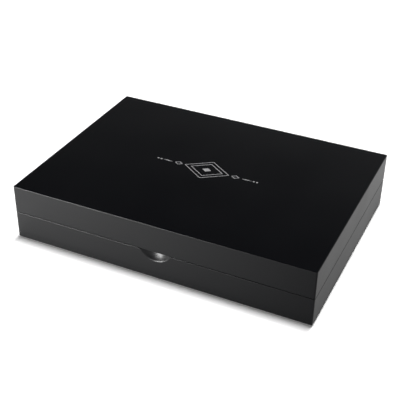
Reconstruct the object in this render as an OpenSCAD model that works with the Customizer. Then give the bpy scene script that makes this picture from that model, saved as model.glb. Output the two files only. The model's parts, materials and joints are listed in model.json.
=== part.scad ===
// Tea bag organizer box: a lacquered case with a hinged lid, a finger scoop in the
// front of the base and a fixed crate of compartments inside.
// Millimetres. +Z is up, the front faces -Y, and the origin is on the surface that
// the box stands on, under the middle of the case.

/* [Case] */
// Width of the case, side to side
case_w = 340; // [300:1:400]
// Depth of the case, front to back
case_d = 245; // [200:1:300]
// Height of the base, from its underside to its rim
base_h = 32; // [28:1:45]
// Height of the lid, from its rim to its top
lid_h = 32; // [28:1:40]
// Thickness of the walls of the base and the lid
wall_t = 10; // [9.5:0.5:14]
// Thickness of the base's bottom panel
bottom_t = 4; // [3:0.5:6]
// Thickness of the lid's top panel
top_t = 5; // [3:0.5:7]
// Rounding of the outer edges
edge_r = 1; // [0.5:0.1:2]
// Gap between the two rims when the lid is shut
seam_gap = 0.3; // [0.2:0.05:0.5]

/* [Finger scoop] */
// Radius of the scoop's outline on the front face
scoop_r = 20; // [15:0.5:26]
// How far the scoop's outline drops below the rim
scoop_drop = 12; // [8:0.5:14]
// How deep the dish is at the middle of its outline
scoop_depth = 8; // [5:0.5:9]

/* [Compartments] */
// Compartments from side to side
columns = 4; // [2:1:6]
// Compartments from front to back
rows = 3; // [2:1:4]
// Thickness of the dividers
divider_t = 3; // [2:0.5:5]
// Thickness of the boards that line the base's walls
liner_t = 4; // [3.5:0.5:6]
// Depth of the grooves that hold the dividers' ends
groove_depth = 1.5; // [1:0.25:2]
// Gap between the dividers' top edge and the lid's panel
headroom = 9; // [4:1:14]
// Chamfer along the lining's top outer edge
lip_chamfer = 0.6; // [0.3:0.1:1]

/* [Hinges] */
// Length of each hinge along its pin
hinge_len = 30; // [24:1:50]
// Distance of the hinges' middles from the sides of the case
hinge_from_side = 60; // [40:1:90]
// Outer diameter of the hinge barrel
barrel_d = 4; // [3.6:0.1:5]
// Knuckles along the barrel, an odd number
knuckles = 5; // [3:2:7]
// Diameter of the hinge pin
pin_d = 1.8; // [1.4:0.1:2.2]
// Thickness of a hinge leaf
leaf_t = 0.9; // [0.7:0.1:1.2]
// Distance from the pin's axis to the leaf's front edge
leaf_w = 7; // [6.6:0.1:7.4]
// Angle at which the bevelled back edges stop the lid
open_angle = 100; // [90:1:110]

/* [Hinge screws] */
// Diameter of the screw's shank
screw_d = 1.6; // [1.2:0.1:2]
// Diameter of the screw's countersunk head
screw_head_d = 3.2; // [2.8:0.1:3.4]
// Length of the screw, head and tip included
screw_len = 9; // [6:0.5:12]
// Distance between a leaf's two screws
screw_spread = 18; // [14:0.5:20]

/* [Magnets] */
// Diameter of the disc magnets in the front rims
magnet_d = 6; // [4:0.5:7]
// Thickness of the disc magnets
magnet_t = 2.5; // [1.5:0.5:4]
// Distance of the magnets from the sides of the case
magnet_from_side = 45; // [30:1:80]

/* [Feet] */
// Diameter of the round pads under the base
foot_d = 12; // [8:1:16]
// Thickness of the pads
foot_h = 1.2; // [0.8:0.1:2.5]
// Distance of the pads' middles from the sides of the case
foot_inset = 15; // [10:1:30]

/* [Fits] */
// Side play of a divider in its grooves and slots
board_play = 0.1; // [0.05:0.05:0.2]
// Radial play of pins, screws and magnets in their holes
hole_play = 0.05; // [0.03:0.01:0.08]
// End play between neighbouring knuckles
knuckle_play = 0.15; // [0.1:0.05:0.3]
// Room round the hinge barrel in the wood
barrel_room = 0.4; // [0.3:0.1:0.8]
// Least gap between the lid's front wall and the lining as the lid swings
lip_gap = 0.4; // [0.3:0.1:0.8]
// Angle left open between the two back bevels at the lid's stop
bevel_play = 1; // [0.5:0.5:2]

/* [Hidden] */
$fn = 64;
over = 1; // how far a cutting shape runs past what it cuts

// Colours
lacquer = [0.03, 0.03, 0.035];
board_black = [0.06, 0.06, 0.065];
brushed_metal = [0.78, 0.78, 0.8];
bright_metal = [0.7, 0.7, 0.72];
rubber = [0.12, 0.12, 0.12];

// Levels of the closed box
case_z = foot_h; // underside of the base
floor_z = case_z + bottom_t; // top of the bottom panel
rim_z = case_z + base_h; // rim of the base
lid_rim_z = rim_z + seam_gap; // rim of the lid
lid_top_z = lid_rim_z + lid_h; // top of the lid
lid_roof_z = lid_top_z - top_t; // underside of the lid's top panel
crate_top_z = lid_roof_z - headroom; // top edge of the lining and the dividers

// Inside of the walls, and inside of the lining
inner_w = case_w - 2 * wall_t;
inner_d = case_d - 2 * wall_t;
crate_w = inner_w - 2 * liner_t;
crate_d = inner_d - 2 * liner_t;

// Middles of the dividers, evenly spaced between the lining boards
cell_w = (crate_w - (columns - 1) * divider_t) / columns;
cell_d = (crate_d - (rows - 1) * divider_t) / rows;
cross_xs = [for (i = [1 : columns - 1]) i * (cell_w + divider_t) - (crate_w + divider_t) / 2];
long_ys = [for (i = [1 : rows - 1]) i * (cell_d + divider_t) - (crate_d + divider_t) / 2];
slot_w = divider_t + 2 * board_play;
lap_z = (floor_z + crate_top_z) / 2; // where crossing dividers' slots end

// Hinge axis: the barrel lies flush with the back of the case, midway between the rims
barrel_r = barrel_d / 2;
axis_y = case_d / 2 - barrel_r;
axis_z = rim_z + seam_gap / 2;
hinge_x = case_w / 2 - hinge_from_side;
knuckle_pitch = hinge_len / knuckles;
pin_r = pin_d / 2;
pin_head_r = (pin_r + barrel_r) / 2;
pin_head_t = 0.5;
barrel_pocket_len = hinge_len + 2 * (pin_head_t + barrel_room);
barrel_pocket_r = barrel_r + barrel_room;
bevel_angle = (open_angle + bevel_play) / 2;
leaf_flat_w = leaf_w - barrel_r - knuckle_play; // clear of the other leaf's knuckles

// Hinge screws, in the middle of each leaf's flat
screw_r = screw_d / 2;
screw_head_r = screw_head_d / 2;
screw_head_t = 0.8 * leaf_t;
screw_tip_t = 1.5;
screw_tip_r = screw_r / 4;
screw_y = -(leaf_w + barrel_r) / 2;
recess_w = 0.2 * screw_head_d;
recess_t = 0.6 * screw_head_t;

// The lid's front wall swings in an arc round the hinge axis, so the lining is stepped
// back above the rim by the sag of that arc and the gap
lid_reach = axis_y + inner_d / 2;
lip_rise = crate_top_z - axis_z;
lip_relief = lid_reach - sqrt(pow(lid_reach, 2) - pow(lip_rise, 2)) + lip_gap;

// The scoop is a slice of a ball, whose outline on the front face has radius scoop_r
scoop_ball_r = (pow(scoop_r, 2) + pow(scoop_depth, 2)) / (2 * scoop_depth);
scoop_y = -case_d / 2 + scoop_depth - scoop_ball_r;
scoop_z = rim_z - scoop_drop + scoop_r;

magnet_r = magnet_d / 2;
magnet_x = case_w / 2 - magnet_from_side;
magnet_y = (wall_t - case_d) / 2;

ENDS = [["left", -1], ["right", 1]];
SIDES = ["front", "back", "left", "right"];
FEET = [["front_left", -1, -1], ["front_right", 1, -1], ["back_left", -1, 1], ["back_right", 1, 1]];

// ---- shapes that repeat ----

// Rectangle with round corners, centred
module rounded_rect(w, d, r) {
    square([w - 2 * r, d], center = true);
    square([w, d - 2 * r], center = true);
    for (x = [-1, 1], y = [-1, 1])
        translate([x * (w / 2 - r), y * (d / 2 - r)]) circle(r);
}

// Block with all its edges rounded, standing on z
module rounded_block(w, d, h, r, z) {
    translate([0, 0, z + h / 2])
        intersection() {
            translate([0, 0, -h / 2]) linear_extrude(h) rounded_rect(w, d, r);
            translate([0, d / 2, 0]) rotate([90, 0, 0]) linear_extrude(d) rounded_rect(w, h, r);
            translate([-w / 2, 0, 0]) rotate([90, 0, 90]) linear_extrude(w) rounded_rect(d, h, r);
        }
}

// Slab across the whole case between two levels
module level(z_low, z_high) {
    translate([-case_w / 2 - over, -case_d / 2 - over, z_low])
        cube([case_w + 2 * over, case_d + 2 * over, z_high - z_low]);
}

// Turns what is drawn along the front side of a w by d frame to the named side
module at_side(side, w, d) {
    if (side == "front") translate([0, -d / 2, 0]) children();
    if (side == "back") rotate(180) translate([0, -d / 2, 0]) children();
    if (side == "left") rotate(-90) translate([0, -w / 2, 0]) children();
    if (side == "right") rotate(90) translate([0, -w / 2, 0]) children();
}

// Length of a frame's side
function side_length(side, w, d) = side == "front" || side == "back" ? w : d;

// Prism that keeps one mitred side of a frame, t thick, between two levels
module mitre(side, w, d, t, z_low, z_high) {
    half = side_length(side, w, d) / 2;
    at_side(side, w, d)
        translate([0, 0, z_low])
            linear_extrude(z_high - z_low)
                polygon([[-half - over, -over], [half + over, -over], [half - t, t], [t - half, t]]);
}

// ---- case ----

module base_block() {
    rounded_block(case_w, case_d, base_h, edge_r, case_z);
}

module lid_block() {
    rounded_block(case_w, case_d, lid_h, edge_r, lid_rim_z);
}

module base_bottom_panel() {
    color(lacquer)
        intersection() {
            base_block();
            level(case_z - over, floor_z);
        }
}

module lid_top_panel() {
    color(lacquer)
        intersection() {
            lid_block();
            level(lid_roof_z, lid_top_z + over);
        }
}

// What is cut from the base's walls
module base_cuts(side) {
    if (side == "front") {
        finger_scoop();
        for (x = [-1, 1] * magnet_x)
            translate([x, magnet_y, rim_z - magnet_t]) magnet_bore();
    } else {
        back_bevel(-1);
    }
    if (side == "back")
        for (x = [-1, 1] * hinge_x)
            translate([x, axis_y, axis_z]) hinge_pocket();
}

// What is cut from the lid's walls
module lid_cuts(side) {
    if (side == "front")
        for (x = [-1, 1] * magnet_x)
            translate([x, magnet_y, lid_rim_z + magnet_t]) mirror([0, 0, 1]) magnet_bore();
    else
        back_bevel(1);
    if (side == "back")
        for (x = [-1, 1] * hinge_x)
            translate([x, axis_y, axis_z]) mirror([0, 0, 1]) hinge_pocket();
}

module base_wall(side) {
    color(lacquer)
        difference() {
            intersection() {
                base_block();
                mitre(side, case_w, case_d, wall_t, floor_z, rim_z + over);
            }
            base_cuts(side);
        }
}

module lid_wall(side) {
    color(lacquer)
        difference() {
            intersection() {
                lid_block();
                mitre(side, case_w, case_d, wall_t, lid_rim_z - over, lid_roof_z);
            }
            lid_cuts(side);
        }
}

module finger_scoop() {
    translate([0, scoop_y, scoop_z]) sphere(scoop_ball_r);
}

// Bevel along the back edge of a rim, below the hinge axis (-1) or above it (1), across
// the back wall and the ends of the side walls. The two bevels stop the open lid.
module back_bevel(up) {
    run = barrel_r + over;
    rise = up * run * tan(bevel_angle);
    translate([-case_w / 2 - over, axis_y, axis_z])
        rotate([90, 0, 90])
            linear_extrude(case_w + 2 * over)
                polygon([[0, 0], [run, rise], [run, -up * over], [0, -up * over]]);
}

// ---- compartments ----

// One board of the lining: full thickness below the rim, stepped back above it, with a
// groove for each divider that ends in it
module liner(side) {
    half = side_length(side, inner_w, inner_d) / 2;
    grooves = side == "front" || side == "back" ? cross_xs : long_ys;
    color(board_black)
        difference() {
            intersection() {
                mitre(side, inner_w, inner_d, liner_t, floor_z, crate_top_z);
                at_side(side, inner_w, inner_d)
                    translate([-half - over, 0, 0])
                        rotate([90, 0, 90])
                            linear_extrude(2 * (half + over))
                                liner_profile();
            }
            at_side(side, inner_w, inner_d)
                for (x = grooves)
                    translate([x - slot_w / 2, liner_t - groove_depth, floor_z - over])
                        cube([slot_w, groove_depth + over, crate_top_z - floor_z + 2 * over]);
        }
}

module liner_profile() {
    polygon([
        [0, floor_z], [liner_t, floor_z], [liner_t, crate_top_z],
        [lip_relief + lip_chamfer, crate_top_z], [lip_relief, crate_top_z - lip_chamfer],
        [lip_relief, rim_z], [0, rim_z]
    ]);
}

// Board standing on the bottom panel, len long along X and centred
module divider_board(len) {
    translate([-len / 2, -divider_t / 2, floor_z])
        cube([len, divider_t, crate_top_z - floor_z]);
}

// Long divider, slotted from the top where cross dividers pass
module long_divider(y) {
    color(board_black)
        translate([0, y, 0])
            difference() {
                divider_board(crate_w + 2 * (groove_depth - board_play));
                for (x = cross_xs)
                    translate([x - slot_w / 2, -divider_t, lap_z])
                        cube([slot_w, 2 * divider_t, crate_top_z]);
            }
}

// Cross divider, slotted from below to drop over the long dividers
module cross_divider(x) {
    color(board_black)
        translate([x, 0, 0])
            rotate(90)
                difference() {
                    divider_board(crate_d + 2 * (groove_depth - board_play));
                    for (y = long_ys)
                        translate([y - slot_w / 2, -divider_t, 0])
                            cube([slot_w, 2 * divider_t, lap_z]);
                }
}

// ---- magnets ----

module magnet_bore() {
    cylinder(h = magnet_t + over, r = magnet_r + hole_play);
}

module magnet(x, z) {
    color(bright_metal)
        translate([x, magnet_y, z]) cylinder(h = magnet_t, r = magnet_r);
}

// ---- hinges ----
// Drawn at the middle of the hinge axis, for the base; the lid's are their mirror image

// Pocket in the wood for a leaf, the barrel and the screws
module hinge_pocket() {
    translate([-hinge_len / 2 - hole_play, -leaf_w - hole_play, -seam_gap / 2 - leaf_t])
        cube([hinge_len + 2 * hole_play, leaf_w + hole_play, leaf_t + over]);
    along_x(barrel_pocket_len) circle(barrel_pocket_r);
    for (x = [-1, 1] * screw_spread / 2)
        translate([x, screw_y, -seam_gap / 2 - screw_len - hole_play])
            cylinder(h = screw_len, r = screw_r + hole_play);
}

// Extrudes a flat outline along X, centred
module along_x(len) {
    translate([-len / 2, 0, 0]) rotate([90, 0, 90]) linear_extrude(len) children();
}

// Leaf with every second knuckle, starting with the one at index first
module leaf(first) {
    color(brushed_metal)
        difference() {
            union() {
                translate([-hinge_len / 2, -leaf_w, -seam_gap / 2 - leaf_t])
                    cube([hinge_len, leaf_flat_w, leaf_t]);
                for (i = [first : 2 : knuckles - 1])
                    translate([(i - (knuckles - 1) / 2) * knuckle_pitch, 0, 0])
                        knuckle();
            }
            along_x(hinge_len + 2 * over) circle(pin_r + hole_play);
            for (x = [-1, 1] * screw_spread / 2)
                translate([x, screw_y, -seam_gap / 2]) leaf_hole();
        }
}

// One knuckle, and the strap that joins it to the leaf's flat
module knuckle() {
    len = knuckle_pitch - knuckle_play;
    along_x(len) circle(barrel_r);
    translate([-len / 2, -leaf_w, -seam_gap / 2 - leaf_t]) cube([len, leaf_w, leaf_t]);
}

// Countersunk hole for a screw
module leaf_hole() {
    translate([0, 0, -leaf_t - over]) cylinder(h = leaf_t + 2 * over, r = screw_r + hole_play);
    translate([0, 0, -screw_head_t])
        cylinder(h = screw_head_t, r1 = screw_r + hole_play, r2 = screw_head_r + hole_play);
    cylinder(h = over, r = screw_head_r + hole_play);
}

module pin() {
    color(bright_metal) {
        along_x(hinge_len) circle(pin_r);
        for (x = [-1, 1] * (hinge_len + pin_head_t) / 2)
            translate([x, 0, 0]) along_x(pin_head_t) circle(pin_head_r);
    }
}

// Countersunk screw pointing down, its head at z 0, with a cross recess
module screw() {
    shank = screw_len - screw_head_t - screw_tip_t;
    difference() {
        union() {
            translate([0, 0, -screw_head_t])
                cylinder(h = screw_head_t, r1 = screw_r, r2 = screw_head_r);
            translate([0, 0, -screw_head_t - shank]) cylinder(h = shank, r = screw_r);
            translate([0, 0, -screw_len]) cylinder(h = screw_tip_t, r1 = screw_tip_r, r2 = screw_r);
        }
        for (turn = [0, 90])
            rotate(turn)
                translate([-screw_r, -recess_w / 2, -recess_t])
                    cube([2 * screw_r, recess_w, recess_t + over]);
    }
}

module leaf_screws() {
    color(bright_metal)
        for (x = [-1, 1] * screw_spread / 2)
            translate([x, screw_y, -seam_gap / 2]) screw();
}

// ---- feet ----

module foot(x, y) {
    color(rubber)
        translate([x * (case_w / 2 - foot_inset), y * (case_d / 2 - foot_inset), 0])
            cylinder(h = foot_h, r = foot_d / 2);
}

// ---- assembly ----

base_bottom_panel();
lid_top_panel();
for (side = SIDES) {
    base_wall(side);
    lid_wall(side);
    liner(side);
}
for (i = [1 : rows - 1])
    long_divider(long_ys[i - 1]);
for (i = [1 : columns - 1])
    cross_divider(cross_xs[i - 1]);
for (end = ENDS) {
    magnet(end[1] * magnet_x, rim_z - magnet_t);
    magnet(end[1] * magnet_x, lid_rim_z);
    translate([end[1] * hinge_x, axis_y, axis_z]) {
        leaf(0);
        mirror([0, 0, 1]) leaf(1);
        pin();
        leaf_screws();
        mirror([0, 0, 1]) leaf_screws();
    }
}
for (foot = FEET)
    foot(foot[1], foot[2]);
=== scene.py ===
"""Looks of a tea bag organizer box: a black lacquered case with a hinged lid, a dished finger
scoop, a crate of painted dividers and nickel hardware. It is laid out as an add-on."""

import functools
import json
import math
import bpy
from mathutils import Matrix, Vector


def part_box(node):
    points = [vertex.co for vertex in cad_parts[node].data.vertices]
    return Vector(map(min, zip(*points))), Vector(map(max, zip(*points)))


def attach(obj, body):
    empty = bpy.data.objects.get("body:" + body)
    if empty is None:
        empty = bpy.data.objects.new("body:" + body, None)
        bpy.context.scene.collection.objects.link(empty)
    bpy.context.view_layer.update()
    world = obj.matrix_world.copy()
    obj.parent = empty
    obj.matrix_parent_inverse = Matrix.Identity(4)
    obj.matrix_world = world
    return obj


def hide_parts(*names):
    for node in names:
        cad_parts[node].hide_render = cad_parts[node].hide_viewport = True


bl_info = {
    "name": "Tea Bag Organizer Box",
    "version": (1, 0, 0),
    "blender": (4, 5, 0),
    "location": "View3D > Sidebar > Tea Box",
    "description": "Lacquered case, dividers, hinges and stage of a tea bag organizer box",
    "category": "Object",
}

import bmesh
import bpy
from mathutils import Matrix, Vector

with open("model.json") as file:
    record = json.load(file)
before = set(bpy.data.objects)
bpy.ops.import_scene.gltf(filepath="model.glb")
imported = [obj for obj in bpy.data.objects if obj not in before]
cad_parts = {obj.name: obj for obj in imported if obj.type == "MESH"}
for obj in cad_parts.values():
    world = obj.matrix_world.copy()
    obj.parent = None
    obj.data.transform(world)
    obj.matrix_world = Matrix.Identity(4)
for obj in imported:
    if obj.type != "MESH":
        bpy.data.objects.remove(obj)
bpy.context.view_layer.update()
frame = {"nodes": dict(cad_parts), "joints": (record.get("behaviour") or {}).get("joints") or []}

MM = 0.001
SIDES = ("front", "back", "left", "right")
ENDS = ("left", "right")
HALVES = {"base": 1, "lid": -1}  # the way that each half's rim faces

# What the frame says about the case
BOTTOM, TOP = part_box("base_bottom_panel"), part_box("lid_top_panel")
HALF_W = (TOP[1].x - TOP[0].x) / 2
HALF_D = (TOP[1].y - TOP[0].y) / 2
RIM_Z = {"base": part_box("base_front_wall")[1].z, "lid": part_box("lid_front_wall")[0].z}
WALL_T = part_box("base_left_wall")[1].x - BOTTOM[0].x
BASE_PANEL_T = BOTTOM[1].z - BOTTOM[0].z
LID_PANEL_T = TOP[1].z - TOP[0].z
HINGE = next(joint for joint in frame["joints"] if joint["name"] == "lid_hinge")
AXIS = Vector(HINGE["pos_m"])
OPEN_ANGLE = math.radians(HINGE["range_deg"][1])

# How fine the meshes are
WELD = 0.001 * MM  # points closer than this are one
SHELL_WELD = 0.005 * MM  # and on the case's shell
FLAT_ANGLE = math.radians(0.5)  # faces that meet at less than this are one
SHARP_ANGLE = math.radians(32)  # edges past this angle are shaded sharp
EASED_ANGLE = math.radians(35)  # edges past this angle are eased
OUTER_STEPS = 4  # faces across an outer rounded edge
INNER_STEPS = 3  # faces across an inner rounded edge
CORNER_STEPS = 5  # faces round an upright corner
LONG_STEP = 40 * MM  # most length of a face along the case
BORE_SIDES = 48
DISC_SIDES = 56
SCREW_SIDES = 32
DOT_SIDES = 28


# ---- kinds of settings ----


def length_mm(name, description, millimetres):
    """A length, given in millimetres."""
    return bpy.props.FloatProperty(
        name=name, description=description, default=millimetres * MM, unit="LENGTH")


def angle_deg(name, description, degrees):
    """An angle, given in degrees."""
    return bpy.props.FloatProperty(
        name=name, description=description, default=math.radians(degrees), subtype="ANGLE")


def factor(name, description, value):
    """A share of something."""
    return bpy.props.FloatProperty(
        name=name, description=description, default=value, subtype="FACTOR")


def amount(name, description, value):
    """A number without a unit."""
    return bpy.props.FloatProperty(name=name, description=description, default=value)


def whole(name, description, value):
    """A whole number."""
    return bpy.props.IntProperty(name=name, description=description, default=value)


def rgb(name, description, *values):
    """A colour."""
    return bpy.props.FloatVectorProperty(
        name=name, description=description, default=values, subtype="COLOR", size=3)


# ---- sizes and colours ----


class CaseSizes(bpy.types.PropertyGroup):
    """Sizes of the lacquered case that the frame leaves to the finish"""

    edge_round: length_mm("Edge rounding", "Radius of the case's outer edges", 1.0)
    corner_round: length_mm("Corner rounding", "Radius of the case's upright corners", 1.6)
    base_rim_round: length_mm("Base rim rounding", "Radius of the outer edge of the base's rim", 0.6)
    lid_rim_round: length_mm("Lid rim rounding", "Radius of the outer edge of the lid's rim", 0.75)
    inner_round: length_mm("Inner rounding", "Radius of the inner edges of both rims", 0.4)
    scoop_radius: length_mm("Scoop radius", "Radius of the scoop's outline on the front face", 19)
    scoop_drop: length_mm("Scoop drop", "How far the scoop's outline drops below the rim", 10.7)
    scoop_depth: length_mm("Scoop depth", "Depth of the dish at the middle of its outline", 7)
    scoop_round: length_mm("Scoop edge", "Half the width of the scoop's eased edge", 0.9)
    scoop_step: length_mm("Scoop step", "Spacing of the mesh across the finger scoop", 0.35)
    bevel_play: angle_deg("Stop play", "Angle left between the back bevels of the open lid", 1)
    leaf_room: length_mm("Leaf room", "Room round a hinge leaf or a magnet in the wood", 0.05)
    barrel_room: length_mm("Barrel room", "Room round the hinge barrel in the wood", 0.4)


class FinishColours(bpy.types.PropertyGroup):
    """Colours of the finishes"""

    lacquer: rgb("Lacquer", "Colour of the case's satin lacquer", 0.0012, 0.0014, 0.0022)
    paint: rgb("Board paint", "Colour of the matt paint inside the base", 0.040, 0.040, 0.041)
    nickel: rgb("Nickel", "Colour of the hinges and screws", 0.62, 0.60, 0.57)
    magnet: rgb("Magnet plate", "Colour of the magnets' plating", 0.70, 0.70, 0.71)
    rubber: rgb("Rubber", "Colour of the pads under the base", 0.018, 0.018, 0.018)
    foil: rgb("Foil", "Colour of the ornament stamped on the lid", 0.50, 0.50, 0.51)


class HardwareSizes(bpy.types.PropertyGroup):
    """Sizes of the small metal and rubber pieces"""

    board_ease: length_mm("Board easing", "Radius of the boards' eased edges", 0.3)
    leaf_ease: length_mm("Leaf easing", "Radius of the hinge leaves' edges", 0.12)
    pin_ease: length_mm("Pin easing", "Radius of the hinge pins' ends", 0.25)
    magnet_ease: length_mm("Magnet easing", "Radius of the magnets' edges", 0.25)
    pad_ease: length_mm("Pad easing", "Radius of the rubber pads' edges", 0.5)
    screw_d: length_mm("Screw shank", "Diameter over the screws' thread", 1.6)
    screw_root: factor("Thread root", "Diameter at the root of the thread, as a share", 0.7)
    screw_pitch: length_mm("Thread pitch", "Rise of the thread in one turn", 0.75)
    thread_w: factor("Thread width", "Width of the thread's ridge as a share of its pitch", 0.6)
    screw_head_t: length_mm("Screw head", "Height of the countersunk head", 0.8)
    screw_ease: length_mm("Screw easing", "Easing of the head's edge", 0.1)
    screw_tip: length_mm("Screw tip", "Length of the screws' point", 1.5)
    recess_w: length_mm("Recess width", "Width of the cross recess's arms at the top", 0.55)
    recess_len: length_mm("Recess length", "Length of its arms at the top, end to end", 1.3435)
    recess_t: length_mm("Recess depth", "Depth of the cross recess", 0.5)
    recess_taper: factor("Recess taper", "How much shorter the arms are at the bottom", 0.75)
    turn_seed: whole("Screw turn seed", "Seed of the screws' final turns", 7)


class OrnamentSizes(bpy.types.PropertyGroup):
    """Sizes of the foil ornament on the lid"""

    foil_t: length_mm("Foil thickness", "How far the foil stands on the lid's lacquer", 0.05)
    line_w: length_mm("Line width", "Width of the foil lines", 0.8)
    lozenge_w: length_mm("Lozenge width", "Width of the outer lozenge", 54)
    lozenge_d: length_mm("Lozenge depth", "Depth of the outer lozenge, front to back", 38)
    inner_share: factor("Inner share", "Size of the inner lozenge as a share of the outer", 0.72)
    heart_share: factor("Heart share", "Size of the solid lozenge in the middle", 0.2)
    side_share: factor("Side share", "Size of the lozenge on each side", 0.18)
    gap: length_mm("Gap", "Gap between neighbouring figures of the ornament", 2.4)
    rule_len: length_mm("Rule length", "Length of the tapered rule on each side", 12)
    rule_w: length_mm("Rule width", "Width of the tapered rule in its middle", 1.6)
    dot_d: length_mm("Dot width", "Width of the dots", 2.2)
    dot_gap: length_mm("Dot spacing", "Distance between the middles of two dots", 3.8)
    dots: whole("Dots", "Number of dots on each side", 2)


class StageSizes(bpy.types.PropertyGroup):
    """Camera, floor and lamps"""

    camera_place: bpy.props.FloatVectorProperty(
        name="Camera place", description="Where the camera stands",
        default=(0.33524, -0.73856, 0.54812), subtype="TRANSLATION", size=3)
    camera_turn: bpy.props.FloatVectorProperty(
        name="Camera turn", description="The camera's Euler angles",
        default=[math.radians(a) for a in (57.224, -0.698, 25.353)], subtype="EULER", size=3)
    camera_lens: bpy.props.FloatProperty(
        name="Lens", description="The camera's focal length", default=77.17, unit="CAMERA")
    sensor_w: bpy.props.FloatProperty(
        name="Sensor", description="Width of the camera's sensor", default=36, unit="CAMERA")
    floor_w: length_mm("Floor width", "Side of the square floor", 6000)
    floor_gap: length_mm("Floor gap", "How far the floor lies below the pads", 0.02)
    floor_colour: rgb("Floor", "Colour of the floor", 0.85, 0.85, 0.85)
    floor_lift: amount("Floor lift", "How much brighter the camera sees the floor", 1.35)
    # The floor settings from here on give the painted light and painted shade that reflections see on
    # the floor: bright on the left, dark on the right, brighter beside the box, and darker next to
    # it.
    floor_bright: amount("Floor, bright side", "How bright reflections see it on the left", 1.34)
    floor_dark: amount("Floor, dark side", "How bright reflections see it on the right", 0.15)
    floor_glow: factor("Floor glow", "Share of that brightness that has no shadow in it", 0.5)
    floor_middle: length_mm("Floor middle", "Where the change to dark has its middle", 65)
    floor_reach: length_mm("Floor reach", "Half the distance over which it changes", 210)
    floor_turn: angle_deg("Floor turn", "Angle from the case's width to the way it changes", 20)
    floor_side: amount("Floor beside", "How much brighter they see it beside the box", 0.22)
    floor_flank: factor("Floor flank", "Half the stretch where that sets in, in case depths", 0.05)
    floor_near: factor("Floor near", "Share of all this that is left next to the box", 0.66)
    floor_clear: length_mm("Floor clear, front", "How far in front it is whole again", 70)
    floor_clear_side: length_mm("Floor clear, sides", "How far beside it is whole again", 25)
    dome_level: amount("Dome level", "Strength of the even light from all round", 0.14)
    horizon_level: amount("Horizon level", "How bright reflections see the horizon", 0.5)
    sky_level: amount("Sky level", "How bright reflections see the studio overhead", 0.005)
    horizon_low: angle_deg("Horizon, full", "Elevation up to which it has its full level", 22)
    horizon_top: angle_deg("Horizon top", "Elevation from which on it has the sky's level", 28)
    horizon_tilt: amount("Horizon tilt", "How much lower the horizon lies on the left", 0.24)
    lamp_level: amount("Lamp level", "Factor on the power of every lamp", 1.0)


GROUPS = (CaseSizes, FinishColours, HardwareSizes, OrnamentSizes, StageSizes)


def key_of(group):
    """The name under which the scene holds a property group."""
    return "tea_box_" + group.__name__.lower()


def settings(group):
    """The scene's copy of a property group."""
    return getattr(bpy.context.scene, key_of(group))


def labelled(group):
    """The values of a property group by the names that its user sees."""
    shown = settings(group)
    return {shown.bl_rna.properties[key].name: getattr(shown, key)
            for key in group.__annotations__}


# ---- node helpers ----


def add(tree, kind, links=None, **values):
    """Adds a node, sets its properties, and feeds its inputs from values or sockets."""
    node = tree.nodes.new(kind)
    for name, value in values.items():
        setattr(node, name, value)
    for key, value in (links or {}).items():
        socket = node.inputs[key]
        for source in value if isinstance(value, list) else [value]:
            if isinstance(source, bpy.types.NodeSocket):
                tree.links.new(source, socket)
            else:
                socket.default_value = source
    return node


def put(tree, kind, links=None, **values):
    """Adds a node in the same way, and returns its first output."""
    return add(tree, kind, links, **values).outputs[0]


def maths(tree, operation, first, second=0.0, *more):
    """The result of a Math node on two numbers or sockets, or of a chain of them on more."""
    made = put(tree, "ShaderNodeMath", {0: first, 1: second}, operation=operation)
    return maths(tree, operation, made, *more) if more else made


def halved(tree, value):
    """Half a number."""
    return maths(tree, "DIVIDE", value, 2.0)


def vector(tree, x=0.0, y=0.0, z=0.0):
    """A vector of three numbers or sockets."""
    return put(tree, "ShaderNodeCombineXYZ", {0: x, 1: y, 2: z})


def vector_maths(tree, operation, *values, output="Vector"):
    """The result of a Vector Math node."""
    made = add(tree, "ShaderNodeVectorMath", dict(enumerate(values)), operation=operation)
    return made.outputs[output]


def axes(tree, where):
    """The X, Y and Z of a place."""
    return add(tree, "ShaderNodeSeparateXYZ", {0: where}).outputs


def coordinates(tree, kind="Object"):
    """The Texture Coordinate node's output of a kind."""
    return add(tree, "ShaderNodeTexCoord").outputs[kind]


def noise(tree, where, per_metre, detail=2.0, roughness=0.5):
    """Noise from 0 to 1 with so many waves a metre."""
    return add(tree, "ShaderNodeTexNoise", {
        "Vector": where, "Scale": per_metre, "Detail": detail, "Roughness": roughness}
    ).outputs["Fac"]


def spread(tree, value, low, high, from_low=0.3, from_high=0.7):
    """Maps a value to a range; most of a noise lies between 0.3 and 0.7."""
    return add(tree, "ShaderNodeMapRange", {
        "Value": value, "From Min": from_low, "From Max": from_high,
        "To Min": low, "To Max": high}).outputs["Result"]


# Input 0 of Mix is the factor, 2 and 3 are its numbers, and 6 and 7 its colours


def mixed(tree, by, first, second):
    """A number between two others."""
    return put(tree, "ShaderNodeMix", {0: by, 2: first, 3: second}, data_type="FLOAT")


def mixed_colour(tree, by, first, second):
    """A colour between two others."""
    return add(tree, "ShaderNodeMix", {0: by, 6: first, 7: second}, data_type="RGBA").outputs[2]


def tinted(tree, value, colour, by):
    """The colour, lightened by noise by up to a share."""
    return mixed_colour(tree, value, (*colour, 1), (*[c * (1 + by) for c in colour], 1))


# ---- finishes ----

SKIN = 0.05 * MM  # how far into the wood the mask of the base's well reaches
LACQUER_ROUGH = (0.29, 0.33)  # roughness of the lacquer, least and most
PAINT_ROUGH = (0.48, 0.58)  # and of the board paint


def material(name, colour, **sockets):
    """A new material with a Principled shader; returns it, its tree and the shader."""
    made = bpy.data.materials.new(name)
    made.use_nodes = True
    made.diffuse_color = (*colour, 1)
    tree = made.node_tree
    shader = tree.nodes["Principled BSDF"]
    shader.inputs["Base Color"].default_value = (*colour, 1)
    for key, value in sockets.items():
        shader.inputs[key.replace("_", " ")].default_value = value
    return made, tree, shader


def place_on_object(tree, stretch=(1, 1, 1)):
    """Object coordinates, stretched along the axes."""
    return add(tree, "ShaderNodeMapping", {"Vector": coordinates(tree), "Scale": stretch}
               ).outputs["Vector"]


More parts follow.
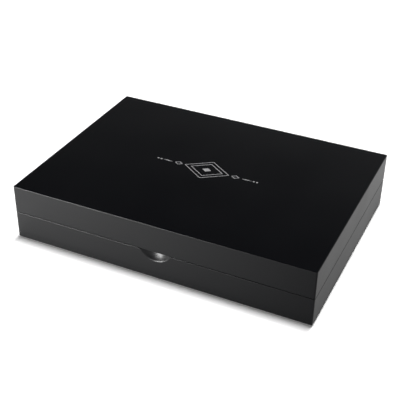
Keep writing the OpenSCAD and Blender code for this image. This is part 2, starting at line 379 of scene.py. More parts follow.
def surface(tree, shader, colour, rough, height, depth):
    """Gives the shader its colour and roughness, and a height in metres for a bump."""
    tree.links.new(rough, shader.inputs["Roughness"])
    tree.links.new(colour, shader.inputs["Base Color"])
    made = add(tree, "ShaderNodeBump", {"Height": height, "Distance": depth, "Strength": 1.0})
    tree.links.new(made.outputs["Normal"], shader.inputs["Normal"])


def grained(name, colour, waves, rough, lighter, depth, detail=3, stretch=(1, 1, 1), ground=1.0,
            **sockets):
    """A finish with one grain, of so many waves a metre, in its roughness, colour and height.

    The colour goes from a share of its own, ground, to one that is lighter by a share.
    """
    made, tree, shader = material(name, colour, **sockets)
    grain = noise(tree, place_on_object(tree, stretch), waves, detail)
    shown = tinted(tree, grain, [c * ground for c in colour], lighter)
    surface(tree, shader, shown, spread(tree, grain, *rough), grain, depth)
    return made


def in_the_well(tree, where):
    """1 on the floor and walls of the base's well, and 0 on the rest of the case."""
    place = axes(tree, where)
    tests = [maths(tree, "LESS_THAN", maths(tree, "ABSOLUTE", place["X"]), HALF_W - WALL_T + SKIN),
             maths(tree, "LESS_THAN", maths(tree, "ABSOLUTE", place["Y"]), HALF_D - WALL_T + SKIN),
             maths(tree, "GREATER_THAN", place["Z"], BOTTOM[1].z - SKIN),
             maths(tree, "LESS_THAN", place["Z"], RIM_Z["base"])]
    return maths(tree, "MULTIPLY", *tests)


def lacquer():
    """Satin black lacquer with faint orange peel; the base's well is painted like the boards."""
    colours = settings(FinishColours)
    made, tree, shader = material("satin_black_lacquer", colours.lacquer, IOR=1.5)
    where = place_on_object(tree)
    broad = noise(tree, where, per_metre=14, detail=3)
    peel = noise(tree, where, per_metre=420)
    well = in_the_well(tree, where)
    rough = mixed(tree, well, spread(tree, broad, *LACQUER_ROUGH),
                  spread(tree, broad, *PAINT_ROUGH))
    colour = mixed_colour(tree, well, tinted(tree, broad, colours.lacquer, by=0.15),
                          tinted(tree, broad, colours.paint, by=0.15))
    surface(tree, shader, colour, rough, peel, depth=0.004 * MM)
    return made


def board_paint():
    """Matt black paint with the nap of a small roller."""
    colour = settings(FinishColours).paint
    made, tree, shader = material("matt_board_paint", colour, IOR=1.45)
    where = place_on_object(tree)
    nap = noise(tree, where, per_metre=900, detail=3, roughness=0.6)
    broad = noise(tree, where, per_metre=25)
    surface(tree, shader, tinted(tree, nap, colour, by=0.3), spread(tree, broad, *PAINT_ROUGH),
            nap, depth=0.02 * MM)
    return made


def brushed_nickel():
    """Nickel plate brushed along the hinge."""
    return grained("brushed_nickel", settings(FinishColours).nickel, waves=6000,
                   stretch=(0.04, 1, 1), rough=(0.24, 0.42), lighter=0.12, depth=0.002 * MM,
                   Metallic=1.0)


def satin_nickel():
    """Tumbled nickel plate of the screws and pins."""
    return grained("satin_nickel", settings(FinishColours).nickel, waves=3500, detail=2,
                   rough=(0.20, 0.34), lighter=0.1, depth=0.002 * MM, Metallic=1.0)


def magnet_plate():
    """Bright nickel plate of the magnets, with fine handling marks."""
    return grained("magnet_plate", settings(FinishColours).magnet, waves=2600,
                   stretch=(1, 0.2, 1), rough=(0.10, 0.24), lighter=0.08, depth=0.001 * MM,
                   Metallic=1.0)


def rubber():
    """Soft black rubber with a matt, slightly dusty surface."""
    return grained("pad_rubber", settings(FinishColours).rubber, waves=1800, rough=(0.62, 0.8),
                   lighter=0.5, depth=0.03 * MM, IOR=1.5)


def foil():
    """Silver-grey stamping foil, worn a little thin in places."""
    return grained("silver_foil", settings(FinishColours).foil, waves=700, ground=0.85,
                   rough=(0.38, 0.55), lighter=0.25, depth=0.005 * MM, Metallic=0.35)


@functools.cache
def finish_of(make):
    """The material that a finish function makes, made once."""
    return make()


# ---- mesh helpers ----


def linked(name, data):
    """A new object of a mesh, lamp or camera, in the scene."""
    made = bpy.data.objects.new(name, data)
    bpy.context.scene.collection.objects.link(made)
    return made


def mesh_of(edit, name):
    """The mesh that an edit holds; the edit is closed."""
    mesh = bpy.data.meshes.new(name)
    edit.to_mesh(mesh)
    edit.free()
    return mesh


def plain_mesh(made):
    """The evaluated object's mesh, as a plain mesh; the object itself is removed."""
    bpy.context.view_layer.update()
    evaluated = made.evaluated_get(bpy.context.evaluated_depsgraph_get())
    mesh = bpy.data.meshes.new_from_object(evaluated)
    bpy.data.objects.remove(made)
    return mesh


def shade(mesh):
    """Smooth shading with sharp edges kept."""
    mesh.shade_smooth()
    mesh.set_sharp_from_angle(angle=SHARP_ANGLE)


def piece(name, mesh, finish, body, stands_for, weighted=True):
    """A finished mesh as a piece that rides on a body and stands for CAD nodes."""
    mesh.name = name
    mesh.materials.clear()
    mesh.materials.append(finish_of(finish))
    made = linked(name, mesh)
    if weighted:
        modifier = made.modifiers.new("even_normals", "WEIGHTED_NORMAL")
        modifier.keep_sharp = True
    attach(made, body)
    if stands_for:
        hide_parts(*stands_for)
    return made


def welded(node):
    """A merged copy of a CAD node's mesh, with its flat faces in one piece."""
    edit = bmesh.new()
    edit.from_mesh(frame["nodes"][node].data)
    bmesh.ops.remove_doubles(edit, verts=edit.verts, dist=WELD)
    bmesh.ops.dissolve_limit(edit, angle_limit=FLAT_ANGLE, verts=edit.verts, edges=edit.edges)
    return mesh_of(edit, node)


def eased(node, ease, segments=2):
    """A merged copy of a CAD node with its sharp edges rounded."""
    made = linked(node + "_eased", welded(node))
    bevel = made.modifiers.new("ease", "BEVEL")
    bevel.width = ease
    bevel.segments = segments
    bevel.limit_method = "ANGLE"
    bevel.angle_limit = EASED_ANGLE
    mesh = plain_mesh(made)
    shade(mesh)
    return mesh


def joined(name, meshes):
    """Several meshes as one."""
    edit = bmesh.new()
    for mesh in meshes:
        edit.from_mesh(mesh)
    return mesh_of(edit, name)


def cut(name, mesh, cutters):
    """A mesh with the cutters taken out of it."""
    made = linked(name + "_blank", mesh)
    tools = linked(name + "_tools", joined("tools", cutters))
    boolean = made.modifiers.new("pockets", "BOOLEAN")
    boolean.operation = "DIFFERENCE"
    boolean.solver = "EXACT"
    boolean.use_self = True
    boolean.object = tools
    result = plain_mesh(made)
    bpy.data.objects.remove(tools)
    return result


def evenly(low, high, step):
    """Values from low to high, both included, no more than a step apart."""
    count = max(1, math.ceil((high - low) / step))
    return [low + (high - low) * i / count for i in range(count + 1)]


def quarter(steps):
    """(sine, cosine) pairs over a quarter turn."""
    angles = [math.pi / 2 * i / steps for i in range(steps + 1)]
    return [(math.sin(a), math.cos(a)) for a in angles]


def lathe(outline, steps, winding=None):
    """A solid turned about Z from its outline, points (radius, height) from axis to axis.

    winding gives a factor on the radius at an angle and a height, for a thread.
    """
    edit = bmesh.new()
    rings = []
    for radius, height in outline:
        if radius == 0:
            rings.append([edit.verts.new((0, 0, height))])
            continue
        ring = []
        for a in (math.tau * i / steps for i in range(steps)):
            wide = radius * (winding(a, height) if winding else 1)
            ring.append(edit.verts.new((wide * math.cos(a), wide * math.sin(a), height)))
        rings.append(ring)
    for low, high in zip(rings, rings[1:]):
        for i in range(steps):
            j = (i + 1) % steps
            corners = [low[i % len(low)], low[j % len(low)], high[j % len(high)], high[i % len(high)]]
            edit.faces.new(list(dict.fromkeys(corners)))
    bmesh.ops.recalc_face_normals(edit, faces=edit.faces)
    return mesh_of(edit, "turned")


def disc(width, height, ease):
    """A disc that stands on z 0, its edges rounded."""
    r = width / 2
    low = [(r - ease * (1 - s), ease * (1 - c)) for s, c in quarter(OUTER_STEPS)]
    high = [(radius, height - z) for radius, z in reversed(low)]
    return lathe([(0, 0), *low, *high, (0, height)], DISC_SIDES)


# ---- copies at points ----


def new_tree(name, inputs):
    """A Geometry Nodes tree with named inputs and a geometry output, and its inputs' sockets."""
    tree = bpy.data.node_groups.new(name, "GeometryNodeTree")
    for label, kind in inputs.items():
        tree.interface.new_socket(label, in_out="INPUT", socket_type="NodeSocket" + kind)
    tree.interface.new_socket("Geometry", in_out="OUTPUT", socket_type="NodeSocketGeometry")
    return tree, tree.nodes.new("NodeGroupInput").outputs


def end_tree(tree, geometry, finish=None):
    """Ends a tree: copies made real and given their finish where the tree has one."""
    if finish:
        real = put(tree, "GeometryNodeRealizeInstances", {"Geometry": geometry})
        geometry = put(tree, "GeometryNodeSetMaterial", {"Geometry": real, "Material": finish})
    add(tree, "NodeGroupOutput", {"Geometry": geometry})
    return tree


def grown(name, mesh, tree, values):
    """The plain mesh that a tree makes from a mesh, its inputs set by their identifiers."""
    made = linked(name, mesh)
    modifier = made.modifiers.new(name, "NODES")
    modifier.node_group = tree
    sockets = {i.name: i.identifier for i in tree.interface.items_tree if i.in_out == "INPUT"}
    for label, value in values.items():
        modifier[sockets[label]] = value
    result = plain_mesh(made)
    bpy.data.meshes.remove(mesh)
    return result


def copies_tree():
    """Sets copies of a solid on points, to a width and a height, each at its own turn."""
    tree, given = new_tree("copies_on_points", {
        "Geometry": "Geometry", "Solid": "Object", "Width": "Float", "Height": "Float",
        "Facing": "Vector", "Most turn": "Float", "Seed": "Int", "Finish": "Material"})
    solid = add(tree, "GeometryNodeObjectInfo", {"Object": given["Solid"]}).outputs["Geometry"]
    extent = add(tree, "GeometryNodeBoundBox", {0: solid}).outputs
    own = vector_maths(tree, "SUBTRACT", extent["Max"], extent["Min"])
    wanted = vector(tree, given["Width"], given["Width"], given["Height"])
    facing = put(tree, "FunctionNodeAlignRotationToVector", {"Vector": given["Facing"]}, axis="Z")
    # Input 3 of Random Value is the most, and output 1 the value, where it draws plain numbers
    turn = add(tree, "FunctionNodeRandomValue", {3: given["Most turn"], "Seed": given["Seed"]})
    spin = put(tree, "FunctionNodeEulerToRotation", {0: vector(tree, z=turn.outputs[1])})
    rotation = put(tree, "FunctionNodeRotateRotation", {0: facing, 1: spin}, rotation_space="LOCAL")
    placed = put(tree, "GeometryNodeInstanceOnPoints", {
        "Points": given["Geometry"], "Instance": solid, "Rotation": rotation,
        "Scale": vector_maths(tree, "DIVIDE", wanted, own)})
    return end_tree(tree, placed, given["Finish"])


def copies(name, solid, places, finish, width, height, facing=(0, 0, 1), most_turn=0.0, seed=0):
    """One plain mesh of a solid's copies at some places."""
    points = bpy.data.meshes.new(name)
    points.from_pydata(places, [], [])
    source = linked(name + "_source", solid)
    mesh = grown(name, points, copies_tree(), {
        "Solid": source, "Width": width, "Height": height, "Facing": facing,
        "Most turn": most_turn, "Seed": seed, "Finish": finish_of(finish)})
    bpy.data.objects.remove(source)
    shade(mesh)
    return mesh


# ---- case ----

PAST_RIM = 1 * MM  # how far a pocket's cutter stands out of the rim


def dish(x, z, size):
    """Depth of the finger scoop in the front face: a slice of a ball with an eased edge."""
    ball_r = (size.scoop_radius ** 2 + size.scoop_depth ** 2) / (2 * size.scoop_depth)
    ball_z = RIM_Z["base"] - size.scoop_drop + size.scoop_radius
    inside = max(ball_r ** 2 - x ** 2 - (z - ball_z) ** 2, 0)
    depth = math.sqrt(inside) - ball_r + size.scoop_depth
    ease = size.scoop_round
    if depth > ease:
        return depth
    return max(depth + ease, 0) ** 2 / (4 * ease)


def section(height, panel_t, rim, crease, size, scooped):
    """(inset, height) points of a half's shell: from its closed face over its rim to the panel."""
    edge, inner = size.edge_round, size.inner_round
    top = height - rim
    upright = [top]
    if scooped:
        upright = evenly(height - size.scoop_drop - 2 * size.scoop_round, top, size.scoop_step)
    points = [(edge * (1 - s), edge * (1 - c)) for s, c in quarter(OUTER_STEPS)]
    points += [(0, h) for h in upright]
    points += [(rim * (1 - c), top + rim * s) for s, c in quarter(OUTER_STEPS)[1:]]
    points += [(crease, height)]
    points += [(WALL_T - inner * (1 - s), height - inner * (1 - c)) for s, c in quarter(INNER_STEPS)]
    points += [(WALL_T, panel_t)]
    return points


def ring(inset, across, along, radius):
    """Points round the case at an inset, anticlockwise from the front left, corners rounded."""
    w, d, r = HALF_W - inset, HALF_D - inset, max(radius - inset, 0)
    flat_w, flat_d = w - r, d - r
    corner = quarter(CORNER_STEPS)[1:-1]
    front = [max(-flat_w, min(flat_w, x)) for x in across]
    right = [(flat_w + r * s, -flat_d - r * c) for s, c in corner]
    right += [(w, max(-flat_d, min(flat_d, y))) for y in along]
    right += [(flat_w + r * c, flat_d + r * s) for s, c in corner]
    left = [(-x, y) for x, y in reversed(right)]
    return [(x, -d) for x in front] + right + [(-x, d) for x in front] + left


def shell(half, closed_z, panel_t):
    """The base or the lid as one lacquered shell, from its closed face to its rim."""
    size = settings(CaseSizes)
    up, rim_z, scooped = HALVES[half], RIM_Z[half], half == "base"
    height = abs(rim_z - closed_z)
    rim = size.base_rim_round if scooped else size.lid_rim_round
    lip = WALL_T - size.inner_round
    slope = math.tan((OPEN_ANGLE + size.bevel_play) / 2)
    crease = HALF_D - AXIS.y - abs(AXIS.z - rim_z) / slope

    flat = HALF_W - size.corner_round
    across = evenly(-flat, flat, LONG_STEP)
    if scooped:
        reach = size.scoop_radius + 2 * size.scoop_round
        across = [x for x in across if abs(x) > reach]
        across = sorted(across + evenly(-reach, reach, size.scoop_step))
    along = [size.corner_round - HALF_D, 0, HALF_D - crease, HALF_D - size.corner_round]

    def shaped(x, y, z, inset, in_front):
        """A point moved in by the scoop, and kept off the other half by the back bevel."""
        if scooped and in_front and inset < lip:
            y += dish(x, z, size) * (1 - max(0, inset - rim) / (lip - rim))
        if y > AXIS.y:
            stop = AXIS.z - up * (y - AXIS.y) * slope
            z = min(z, stop) if up > 0 else max(z, stop)
        return x, y, z

    edit = bmesh.new()
    rings = []
    for inset, rise in section(height, panel_t, rim, crease, size, scooped):
        points = enumerate(ring(inset, across, along, size.corner_round))
        rings.append([
            edit.verts.new(shaped(x, y, closed_z + up * rise, inset, i < len(across)))
            for i, (x, y) in points])
    for low, high in zip(rings, rings[1:]):
        for i in range(len(low)):
            j = (i + 1) % len(low)
            edit.faces.new((low[i], low[j], high[j], high[i]))
    edit.faces.new(reversed(rings[0]))
    edit.faces.new(rings[-1])
    bmesh.ops.remove_doubles(edit, verts=edit.verts, dist=SHELL_WELD)
    bmesh.ops.dissolve_degenerate(edit, edges=edit.edges, dist=WELD)
    bmesh.ops.recalc_face_normals(edit, faces=edit.faces)
    return mesh_of(edit, half + "_shell")


def box_cutter(low, high):
    """A box to be cut from the case."""
    low, high = Vector(low), Vector(high)
    edit = bmesh.new()
    matrix = Matrix.Translation((low + high) / 2) @ Matrix.Diagonal((*(high - low), 1))
    bmesh.ops.create_cube(edit, size=1, matrix=matrix)
    return mesh_of(edit, "box_cutter")


def rod_cutter(middle, radius, length, turn=Matrix.Identity(4)):
    """A rod to be cut from the case; it stands upright unless it is turned."""
    edit = bmesh.new()
    matrix = Matrix.Translation(middle) @ turn @ Matrix.Diagonal((radius, radius, length, 1))
    bmesh.ops.create_cone(edit, cap_ends=True, segments=BORE_SIDES, radius1=1, radius2=1,
                          depth=1, matrix=matrix)
    return mesh_of(edit, "rod_cutter")


def leaf_plate_z(end, half):
    """Level of the face of a leaf's plate that lies in the wood."""
    node = frame["nodes"][f"hinge_{end}_{half}_leaf"]
    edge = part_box(node.name)[0].y + WELD
    levels = [v.co.z for v in node.data.vertices if v.co.y < edge]
    return min(levels) if half == "base" else max(levels)


def hinge_cutters(half):
    """Pockets for the leaves and barrels in one half's back rim."""
    size = settings(CaseSizes)
    cutters = []
    for end in ENDS:
        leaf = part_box(f"hinge_{end}_{half}_leaf")
        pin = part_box(f"hinge_{end}_pin")
        levels = sorted((leaf_plate_z(end, half), RIM_Z[half] + HALVES[half] * PAST_RIM))
        room = size.leaf_room
        cutters.append(box_cutter((leaf[0].x - room, leaf[0].y - room, levels[0]),
                                  (leaf[1].x + room, AXIS.y, levels[1])))
        middle = Vector(((pin[0].x + pin[1].x) / 2, AXIS.y, AXIS.z))
        radius = leaf[1].y - AXIS.y + size.barrel_room
        length = pin[1].x - pin[0].x + 2 * size.barrel_room
        cutters.append(rod_cutter(middle, radius, length, Matrix.Rotation(math.pi / 2, 4, "Y")))
    return cutters


def magnet_cutters(half):
    """Bores for the magnets in one half's front rim, from a magnet's seat to past the rim."""
    cutters = []
    for end in ENDS:
        low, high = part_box(f"{half}_magnet_{end}")
        radius = (high.x - low.x) / 2 + settings(CaseSizes).leaf_room
        depth = high.z - low.z
        middle = (low + high) / 2 + Vector((0, 0, HALVES[half] * depth / 2))
        cutters.append(rod_cutter(middle, radius, 2 * depth))
    return cutters


def make_half(half, closed_z, panel_t, panel_node):
    """The finished base or lid case, which stands for its panel and its four walls."""
    name = half + "_case"
    mesh = cut(name, shell(half, closed_z, panel_t), hinge_cutters(half) + magnet_cutters(half))
    shade(mesh)
    nodes = [panel_node] + [f"{half}_{side}_wall" for side in SIDES]
    piece(name, mesh, lacquer, half, nodes)


class TEABOX_OT_base_case(bpy.types.Operator):
    """Make the base: one lacquered shell with the finger scoop and the hinge pockets"""

    bl_idname = "tea_box.base_case"
    bl_label = "Base case"

    def execute(self, context):
        make_half("base", BOTTOM[0].z, BASE_PANEL_T, "base_bottom_panel")
        return {"FINISHED"}


class TEABOX_OT_lid_case(bpy.types.Operator):
    """Make the lid: one lacquered shell, lower than its top by the thickness of the foil"""

    bl_idname = "tea_box.lid_case"
    bl_label = "Lid case"

    def execute(self, context):
        foil_t = settings(OrnamentSizes).foil_t
        make_half("lid", TOP[1].z - foil_t, LID_PANEL_T - foil_t, "lid_top_panel")
        return {"FINISHED"}


# ---- compartments ----


class TEABOX_OT_boards(bpy.types.Operator):
    """Ease the edges of the lining boards and the dividers, and paint them"""

    bl_idname = "tea_box.boards"
    bl_label = "Lining and dividers"

    def execute(self, context):
        ease = settings(HardwareSizes).board_ease
        boards = [n for n in frame["nodes"] if n.startswith("liner_") or "_divider_" in n]
        for node in sorted(boards):
            piece(node + "_board", eased(node, ease), board_paint, "base", [node])
        return {"FINISHED"}


# ---- hardware ----

THREAD_STEPS = 6  # rings of the mesh in one turn of a thread
TIP_SHARES = (0.8, 0.6, 0.4, 0.2)  # rings of the mesh down a screw's point
BARE_TIP = 1 / 3  # share of the point, from its tip, that has no thread


class TEABOX_OT_hinges(bpy.types.Operator):
    """Make the hinge leaves and their pins from finer copies of the frame's"""

    bl_idname = "tea_box.hinges"
    bl_label = "Hinges"

    def execute(self, context):
        size = settings(HardwareSizes)
        for end in ENDS:
            for half in HALVES:
                node = f"hinge_{end}_{half}_leaf"
                mesh = eased(node, size.leaf_ease, segments=3)
                piece(node + "_plate", mesh, brushed_nickel, half, [node])
            node = f"hinge_{end}_pin"
            mesh = eased(node, size.pin_ease, segments=4)
            piece(node + "_rod", mesh, satin_nickel, "base", [node])
        return {"FINISHED"}


def recess_arm(turn):
    """A tapered bar to be cut from a screw's head, at a turn about Z."""
    size = settings(HardwareSizes)
    edit = bmesh.new()
    corner = size.recess_len * math.sqrt(0.5)
    taper = corner * size.recess_taper
    bmesh.ops.create_cone(edit, cap_ends=True, segments=4, depth=2 * size.recess_t,
                          radius1=corner - taper, radius2=corner + taper,
                          matrix=Matrix.Rotation(math.pi / 4, 4, "Z"))
    flat = size.recess_w / size.recess_len
    bmesh.ops.transform(edit, verts=edit.verts,
                        matrix=Matrix.Rotation(turn, 4, "Z") @ Matrix.Diagonal((1, flat, 1, 1)))
    return mesh_of(edit, "recess_arm")


def screw_solid(length, head_d):
    """A countersunk wood screw pointing down, its head at z 0, with a cross recess."""
    size = settings(HardwareSizes)
    shank_r, head_r, head_t, ease = size.screw_d / 2, head_d / 2, size.screw_head_t, size.screw_ease

    def thread(angle, height):
        """Factor on the radius: a ridge that winds down the shank."""
        if height > -head_t or height < size.screw_tip * BARE_TIP - length:
            return 1
        across = (height / size.screw_pitch - angle / math.tau) % 1
        ridge = max(0, 1 - abs(across - 0.5) / (size.thread_w / 2))
        return size.screw_root + (1 - size.screw_root) * ridge

    shank = evenly(size.screw_tip - length, -head_t, size.screw_pitch / THREAD_STEPS)
    outline = [(0, 0), (head_r - ease, 0), (head_r, -ease), (shank_r, -head_t)]
    outline += [(shank_r, z) for z in reversed(shank)]
    outline += [(shank_r * share, size.screw_tip * share - length) for share in TIP_SHARES]
    outline += [(0, -length)]
    return cut("screw", lathe(outline, SCREW_SIDES, thread),
               [recess_arm(turn) for turn in (0, math.pi / 2)])


class TEABOX_OT_screws(bpy.types.Operator):
    """Make the hinge screws, one mesh for each half's leaf"""

    bl_idname = "tea_box.screws"
    bl_label = "Hinge screws"

    def execute(self, context):
        for half, up in HALVES.items():
            nodes = [f"hinge_{end}_{half}_screws" for end in ENDS]
            places = []
            for node in nodes:
                low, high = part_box(node)
                head_d, length = high.y - low.y, high.z - low.z
                face_z = high.z if up > 0 else low.z
                places += [(x, (low.y + high.y) / 2, face_z)
                           for x in (low.x + head_d / 2, high.x - head_d / 2)]
            name = f"{half}_hinge_screws"
            mesh = copies(name, screw_solid(length, head_d), places, satin_nickel, head_d, length,
                          facing=(0, 0, up), most_turn=math.tau,
                          seed=settings(HardwareSizes).turn_seed)
            piece(name, mesh, satin_nickel, half, nodes, weighted=False)
        return {"FINISHED"}


def make_discs(name, nodes, finish, body, ease):
    """One piece of rounded discs, each where a CAD node's disc is."""
    boxes = [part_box(node) for node in nodes]
    low, high = boxes[0]
    width, height = high.x - low.x, high.z - low.z
    places = [((a.x + b.x) / 2, (a.y + b.y) / 2, a.z) for a, b in boxes]
    mesh = copies(name, disc(width, height, ease), places, finish, width, height)
    piece(name, mesh, finish, body, nodes, weighted=False)


class TEABOX_OT_magnets(bpy.types.Operator):
    """Make the disc magnets in the front rims, one mesh for each half"""

    bl_idname = "tea_box.magnets"
    bl_label = "Magnets"

    def execute(self, context):
        ease = settings(HardwareSizes).magnet_ease
        for half in HALVES:
            nodes = [f"{half}_magnet_{end}" for end in ENDS]
            make_discs(f"{half}_rim_magnets", nodes, magnet_plate, half, ease)
        return {"FINISHED"}


class TEABOX_OT_pads(bpy.types.Operator):
    """Make the rubber pads under the base"""

    bl_idname = "tea_box.pads"
    bl_label = "Pads"

    def execute(self, context):
        nodes = sorted(node for node in frame["nodes"] if node.startswith("foot_"))
        ease = settings(HardwareSizes).pad_ease
        make_discs("rubber_pads", nodes, rubber, "base", ease)
        return {"FINISHED"}


# ---- ornament ----


def lozenge_tree():
    """A flat lozenge; with a line width it is open, its line even all round."""
    tree, given = new_tree("lozenge", {"Width": "Float", "Depth": "Float", "Line width": "Float"})
    line = given["Line width"]
    half_w, half_d = halved(tree, given["Width"]), halved(tree, given["Depth"])
    side = vector_maths(tree, "LENGTH", vector(tree, half_w, half_d), output="Value")
    inner_r = maths(tree, "DIVIDE", maths(tree, "MULTIPLY", half_w, half_d), side)
    share = maths(tree, "SUBTRACT", 1.0, maths(tree, "DIVIDE", line, inner_r))
    unit = put(tree, "GeometryNodeMeshCircle", {"Vertices": 4, "Radius": 1.0}, fill_type="NGON")
    flat = put(tree, "GeometryNodeTransform", {
        "Geometry": unit, "Scale": vector(tree, half_w, half_d, 1.0)})
    inset = add(tree, "GeometryNodeExtrudeMesh", {"Mesh": flat, "Offset Scale": 0.0}).outputs
    narrowed = put(tree, "GeometryNodeScaleElements", {
        "Geometry": inset["Mesh"], "Selection": inset["Top"], "Scale": share})
    opened = put(tree, "GeometryNodeDeleteGeometry", {
        "Geometry": narrowed, "Selection": inset["Top"]}, domain="FACE")
    return end_tree(tree, put(tree, "GeometryNodeSwitch", {
        "Switch": maths(tree, "GREATER_THAN", line, 0.0), "False": flat, "True": opened},
        input_type="GEOMETRY"))


def raised(tree, flat, thickness):
    """Flat figures made into closed foil."""
    upper = put(tree, "GeometryNodeExtrudeMesh", {
        "Mesh": flat, "Offset": (0, 0, 1), "Offset Scale": thickness, "Individual": False})
    under = put(tree, "GeometryNodeFlipFaces", {"Mesh": flat})
    closed = put(tree, "GeometryNodeJoinGeometry", {"Geometry": [upper, under]})
    return put(tree, "GeometryNodeMergeByDistance", {"Geometry": closed, "Distance": WELD})


def ornament_tree():
    """Foil ornament: a lozenge in a lozenge, and on each side a lozenge, a rule and dots."""
    kinds = {label: "Int" if isinstance(value, int) else "Float"
             for label, value in labelled(OrnamentSizes).items()}
    tree, size = new_tree("foil_ornament", {"Geometry": "Geometry", **kinds, "Finish": "Material"})
    group, line, gap = lozenge_tree(), size["Line width"], size["Gap"]

    def figure(width, depth, line_w=0.0, x=0.0):
        """A lozenge with its middle at an x."""
        made = put(tree, "GeometryNodeGroup", {
            "Width": width, "Depth": depth, "Line width": line_w}, node_tree=group)
        return put(tree, "GeometryNodeTransform", {
            "Geometry": made, "Translation": vector(tree, x)})

    def shared(share, line_w=0.0, x=0.0):
        """A lozenge of a share of the outer one's size."""
        return figure(maths(tree, "MULTIPLY", size["Lozenge width"], share),
                      maths(tree, "MULTIPLY", size["Lozenge depth"], share), line_w, x)

    half = halved(tree, size["Lozenge width"])
    side_half = maths(tree, "MULTIPLY", half, size["Side share"])
    side_x = maths(tree, "ADD", half, gap, side_half)
    rule_half = halved(tree, size["Rule length"])
    rule_x = maths(tree, "ADD", side_x, side_half, gap, rule_half)
    dot_x = maths(tree, "ADD", rule_x, rule_half, gap)
    dot = put(tree, "GeometryNodeMeshCircle", {
        "Vertices": DOT_SIDES, "Radius": halved(tree, size["Dot width"])}, fill_type="NGON")
    row = put(tree, "GeometryNodeMeshLine", {
        "Count": size["Dots"], "Start Location": vector(tree, dot_x),
        "Offset": vector(tree, size["Dot spacing"])})
    dots = put(tree, "GeometryNodeInstanceOnPoints", {"Points": row, "Instance": dot})
    one_side = put(tree, "GeometryNodeJoinGeometry", {"Geometry": [
        shared(size["Side share"], line, side_x),
        figure(size["Rule length"], size["Rule width"], x=rule_x), dots]})
    other_side = put(tree, "GeometryNodeTransform", {
        "Geometry": one_side, "Rotation": (0, 0, math.pi)})
    flat = put(tree, "GeometryNodeJoinGeometry", {"Geometry": [
        shared(1.0, line), shared(size["Inner share"], line), shared(size["Heart share"]),
        one_side, other_side]})
    placed = put(tree, "GeometryNodeInstanceOnPoints", {
        "Points": size["Geometry"], "Instance": flat})
    real = put(tree, "GeometryNodeRealizeInstances", {"Geometry": placed})
    return end_tree(tree, raised(tree, real, size["Foil thickness"]), size["Finish"])


class TEABOX_OT_ornament(bpy.types.Operator):
    """Make the foil ornament in the middle of the lid"""

    bl_idname = "tea_box.ornament"
    bl_label = "Lid ornament"

    def execute(self, context):
        foil_t = settings(OrnamentSizes).foil_t
        middle = (TOP[0] + TOP[1]) / 2
        place = bpy.data.meshes.new("ornament_place")
        place.from_pydata([(middle.x, middle.y, TOP[1].z - foil_t)], [], [])
        mesh = grown("lid_ornament", place, ornament_tree(), {
            **labelled(OrnamentSizes), "Finish": finish_of(foil)})
        piece("lid_ornament", mesh, foil, "lid", [], weighted=False)
        return {"FINISHED"}


# ---- stage ----

# Soft lamps: azimuth and elevation in degrees, distance, width and height in metres, power in
# watts; azimuth 0 is in front of the box, 90 on its right
LAMPS = {
    "overhead": (171, 84.3, 15.0, 1.05, 3.2, 2150),
    "front_left_low": (-32, 6, 1.5, 0.55, 0.35, 16),
}
MATT_LAMPS = {"overhead"}  # lamps that the lacquer and the metal don't mirror


def painted_floor_light(tree, size):
    """How bright reflections see the floor: painted light, bright on the left and dark on the right,
    and painted shade close to the box.
    """
    where = coordinates(tree)
    place = axes(tree, where)
    darker = Vector((math.cos(size.floor_turn), -math.sin(size.floor_turn), 0))
    # painted light: the floor's level in reflections goes from bright on the left to dark on the
    # right
    painted_light_gradient = spread(tree, vector_maths(tree, "DOT_PRODUCT", where, darker, output="Value"),
                    size.floor_bright, size.floor_dark,
                    size.floor_middle - size.floor_reach, size.floor_middle + size.floor_reach)
    flank = 2 * HALF_D * size.floor_flank
    beside = spread(tree, place["Y"], 0.0, size.floor_side, -HALF_D - flank, -HALF_D + flank)
    outward = ((maths(tree, "ABSOLUTE", place["X"]), HALF_W, size.floor_clear_side),
               (maths(tree, "MULTIPLY", place["Y"], -1.0), HALF_D, size.floor_clear))
    past = [maths(tree, "DIVIDE", maths(tree, "MAXIMUM", maths(tree, "SUBTRACT", far, half)), clear)
            for far, half, clear in outward]
    away = vector_maths(tree, "LENGTH", vector(tree, *past), output="Value")
    # painted shade: reflections see the floor darker next to the box, down to a share of its level
    near = spread(tree, away, size.floor_near, 1.0, 0.0, 1.0)
    return maths(tree, "MULTIPLY", maths(tree, "ADD", painted_light_gradient, beside), near)


def pale_floor():
    """Matt white that keeps the box's shadow, glows a little in reflections with painted light and
    painted shade in the glow, and is clear from below, to show the underside."""
    size = settings(StageSizes)
    made = bpy.data.materials.new("pale_floor")
    made.use_nodes = True
    tree = made.node_tree
    tree.nodes.clear()
    in_gloss = painted_floor_light(tree, size)
    path = add(tree, "ShaderNodeLightPath").outputs
    mirrored = maths(tree, "MAXIMUM", path["Is Glossy Ray"], path["Is Transmission Ray"])
    # reflections see the floor's matt part and its glow at the painted level: painted light and
    # painted shade
    lit = maths(tree, "MULTIPLY", in_gloss, 1 - size.floor_glow)
    level = mixed(tree, path["Is Camera Ray"], mixed(tree, mirrored, 1.0, lit), size.floor_lift)
    colour = put(tree, "ShaderNodeVectorMath", {0: size.floor_colour, "Scale": level},
                 operation="SCALE")
    matt = put(tree, "ShaderNodeBsdfDiffuse", {"Color": colour})
    glow = maths(tree, "MULTIPLY", in_gloss, size.floor_glow, mirrored)
    shine = put(tree, "ShaderNodeEmission", {"Color": (1, 1, 1, 1), "Strength": glow})
    both = put(tree, "ShaderNodeAddShader", {0: matt, 1: shine})
    below = add(tree, "ShaderNodeNewGeometry").outputs["Backfacing"]
    clear = put(tree, "ShaderNodeBsdfTransparent")
    shown = put(tree, "ShaderNodeMixShader", {0: below, 1: both, 2: clear})
    add(tree, "ShaderNodeOutputMaterial", {"Surface": shown})
    return made


def make_floor():
    """The pale floor, just under the pads."""
    size = settings(StageSizes)
    edit = bmesh.new()
    bmesh.ops.create_grid(edit, x_segments=1, y_segments=1, size=size.floor_w / 2,
                          matrix=Matrix.Translation((0, 0, -size.floor_gap)))
    mesh = mesh_of(edit, "floor")
    mesh.materials.append(pale_floor())
    linked("floor", mesh)


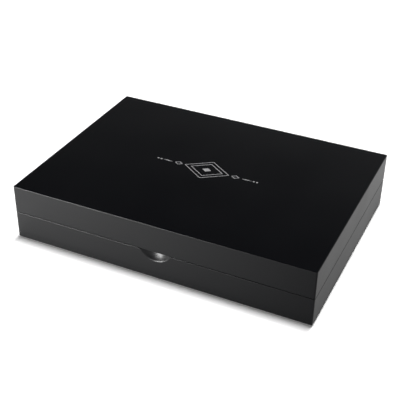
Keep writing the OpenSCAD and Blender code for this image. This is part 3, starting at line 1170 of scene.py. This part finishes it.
def make_world():
    """White to the camera, a soft even light on the object, and in reflections pale only low down."""
    size = settings(StageSizes)
    world = bpy.data.worlds.new("studio")
    bpy.context.scene.world = world
    world.use_nodes = True
    tree = world.node_tree
    tree.nodes.clear()
    way = axes(tree, coordinates(tree, "Generated"))
    rise = maths(tree, "SUBTRACT", way["Z"], maths(tree, "MULTIPLY", way["X"], size.horizon_tilt))
    in_gloss = spread(tree, rise, size.horizon_level, size.sky_level,
                      math.sin(size.horizon_low), math.sin(size.horizon_top))
    path = add(tree, "ShaderNodeLightPath").outputs
    lit = mixed(tree, path["Is Diffuse Ray"], in_gloss, size.dome_level)
    seen = mixed(tree, path["Is Camera Ray"], lit, 1.0)
    back = put(tree, "ShaderNodeBackground", {"Color": (1, 1, 1, 1), "Strength": seen})
    add(tree, "ShaderNodeOutputWorld", {"Surface": back})


def make_lamps():
    """The soft area lamps, which point at the middle of the box."""
    level = settings(StageSizes).lamp_level
    for name, (azimuth, elevation, distance, width, height, power) in LAMPS.items():
        a, e = math.radians(azimuth), math.radians(elevation)
        lamp = bpy.data.lights.new(name, "AREA")
        lamp.shape = "RECTANGLE"
        lamp.size, lamp.size_y = width, height
        lamp.energy = power * level
        made = linked(name, lamp)
        away = Vector((math.sin(a) * math.cos(e), -math.cos(a) * math.cos(e), math.sin(e)))
        made.location = Vector((0, 0, RIM_Z["base"])) + away * distance
        made.rotation_euler = away.to_track_quat("Z", "Y").to_euler()
        made.visible_glossy = name not in MATT_LAMPS


def make_camera():
    """The camera, at the photograph's viewing angle."""
    size = settings(StageSizes)
    data = bpy.data.cameras.new("camera")
    data.sensor_width = size.sensor_w
    data.lens = size.camera_lens
    made = linked("camera", data)
    made.location = size.camera_place
    made.rotation_euler = size.camera_turn
    bpy.context.scene.camera = made


class TEABOX_OT_stage(bpy.types.Operator):
    """Make the floor, the lamps and the camera"""

    bl_idname = "tea_box.stage"
    bl_label = "Stage"

    def execute(self, context):
        make_floor()
        make_world()
        make_lamps()
        make_camera()
        context.scene.view_settings.view_transform = "Standard"
        return {"FINISHED"}


# ---- panel and registration ----

OPERATORS = (TEABOX_OT_base_case, TEABOX_OT_lid_case, TEABOX_OT_ornament, TEABOX_OT_boards,
             TEABOX_OT_hinges, TEABOX_OT_screws, TEABOX_OT_magnets, TEABOX_OT_pads,
             TEABOX_OT_stage)


class TEABOX_PT_panel(bpy.types.Panel):
    """Lists the sizes, colours and steps of the tea box"""

    bl_label = "Tea Box"
    bl_idname = "TEABOX_PT_panel"
    bl_space_type = "VIEW_3D"
    bl_region_type = "UI"
    bl_category = "Tea Box"

    def draw(self, context):
        for group in GROUPS:
            box = self.layout.box()
            for name in group.__annotations__:
                box.prop(settings(group), name)
        for operator in OPERATORS:
            self.layout.operator(operator.bl_idname)


def register():
    for item in (*GROUPS, *OPERATORS, TEABOX_PT_panel):
        bpy.utils.register_class(item)
    for group in GROUPS:
        setattr(bpy.types.Scene, key_of(group), bpy.props.PointerProperty(type=group))


def unregister():
    for group in GROUPS:
        delattr(bpy.types.Scene, key_of(group))
    for item in (TEABOX_PT_panel, *reversed(OPERATORS), *reversed(GROUPS)):
        bpy.utils.unregister_class(item)


def main():
    register()
    for operator in OPERATORS:
        group, name = operator.bl_idname.split(".")
        getattr(getattr(bpy.ops, group), name)()


if __name__ == "__main__":
    main()
